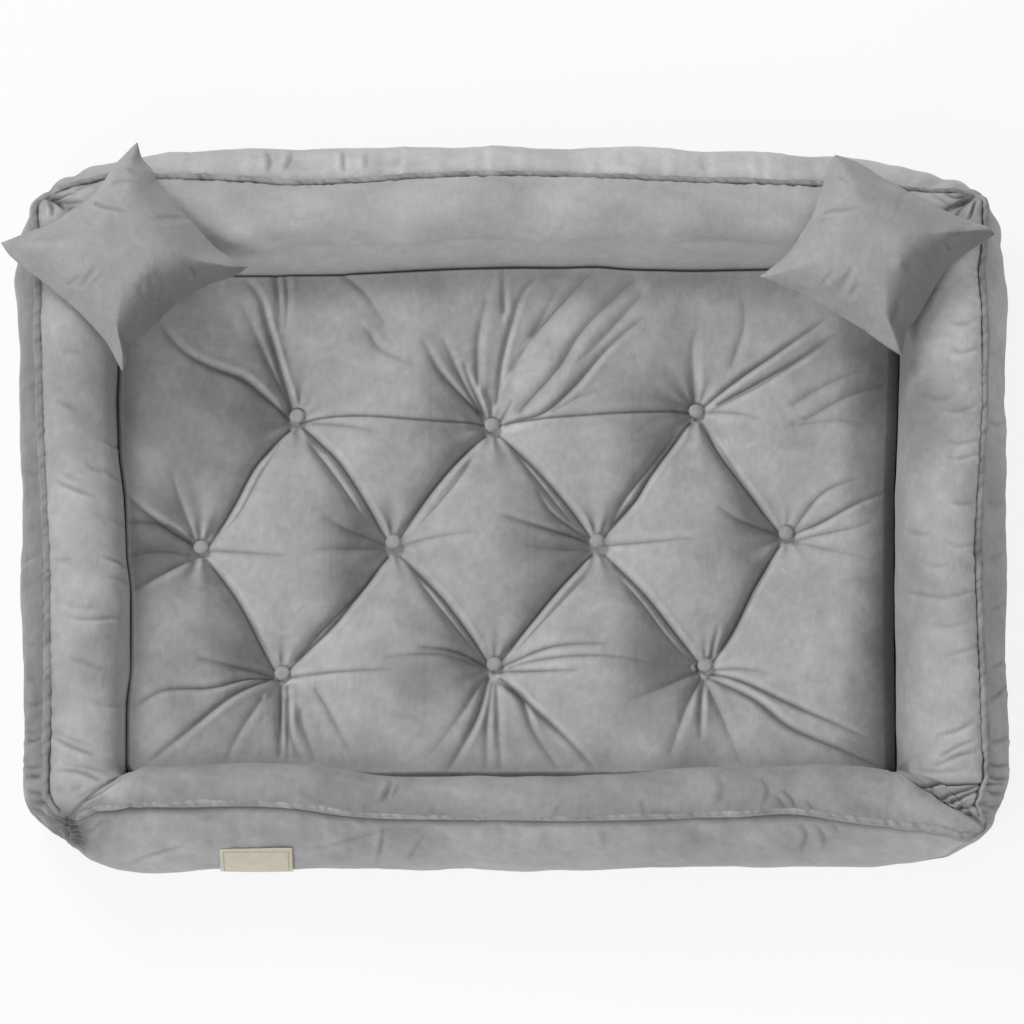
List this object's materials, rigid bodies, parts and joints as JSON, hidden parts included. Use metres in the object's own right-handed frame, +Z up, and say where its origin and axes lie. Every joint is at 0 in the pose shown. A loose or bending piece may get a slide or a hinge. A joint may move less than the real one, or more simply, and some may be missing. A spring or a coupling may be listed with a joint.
{
  "type": "dog sofa bed",
  "caption": "Rectangular dog sofa bed in grey crushed velvet: bolster walls with piped seams, gathered corners, a button-tufted mattress and two small loose pillows",
  "frame": {"origin": "centre of the underside of the base panel, where it stands on the floor", "axes": "+X to the right as seen from the low front wall, +Y to the back wall with the higher crest, +Z up"},
  "size_m": [1.0095, 0.7517, 0.2301],
  "materials": {
    "velvet": "crushed velvet, short nap",
    "piping_velvet": "velvet-wrapped cord",
    "button_velvet": "velvet-covered button",
    "label_cloth": "woven satin label",
    "anti_slip_base": "woven base with rubber dots",
    "fibre_filling": "loose polyester fibre",
    "button_plastic": "moulded backing button",
    "twine": "waxed tufting twine"
  },
  "bodies": {
    "bed": {"base_panel": "anti_slip_base", "bolster_front": "velvet", "bolster_back": "velvet", "bolster_left": "velvet", "bolster_right": "velvet", "filling_front": "fibre_filling", "filling_back": "fibre_filling", "filling_left": "fibre_filling", "filling_right": "fibre_filling", "gusset_front_left": "velvet", "gusset_front_right": "velvet", "gusset_back_left": "velvet", "gusset_back_right": "velvet", "piping_front": "piping_velvet", "piping_back": "piping_velvet", "piping_left": "piping_velvet", "piping_right": "piping_velvet", "label": "label_cloth"},
    "mattress": {"mattress_cover": "velvet", "mattress_filling": "fibre_filling", "tufting_buttons": "button_velvet", "backing_buttons": "button_plastic", "tufting_twines": "twine"},
    "pillow_left": {"pillow_cover_left": "velvet", "pillow_filling_left": "fibre_filling"},
    "pillow_right": {"pillow_cover_right": "velvet", "pillow_filling_right": "fibre_filling"}
  },
  "joints": [
    {"name": "mattress_lift", "type": "slide", "parent": "bed", "child": "mattress", "axis": [0, 0, 1], "range_m": [0, 0.065]},
    {"name": "pillow_left_lift", "type": "slide", "parent": "bed", "child": "pillow_left", "axis": [0, 0, 1], "range_m": [0, 0.2]},
    {"name": "pillow_right_lift", "type": "slide", "parent": "bed", "child": "pillow_right", "axis": [0, 0, 1], "range_m": [0, 0.2]}
  ]
}
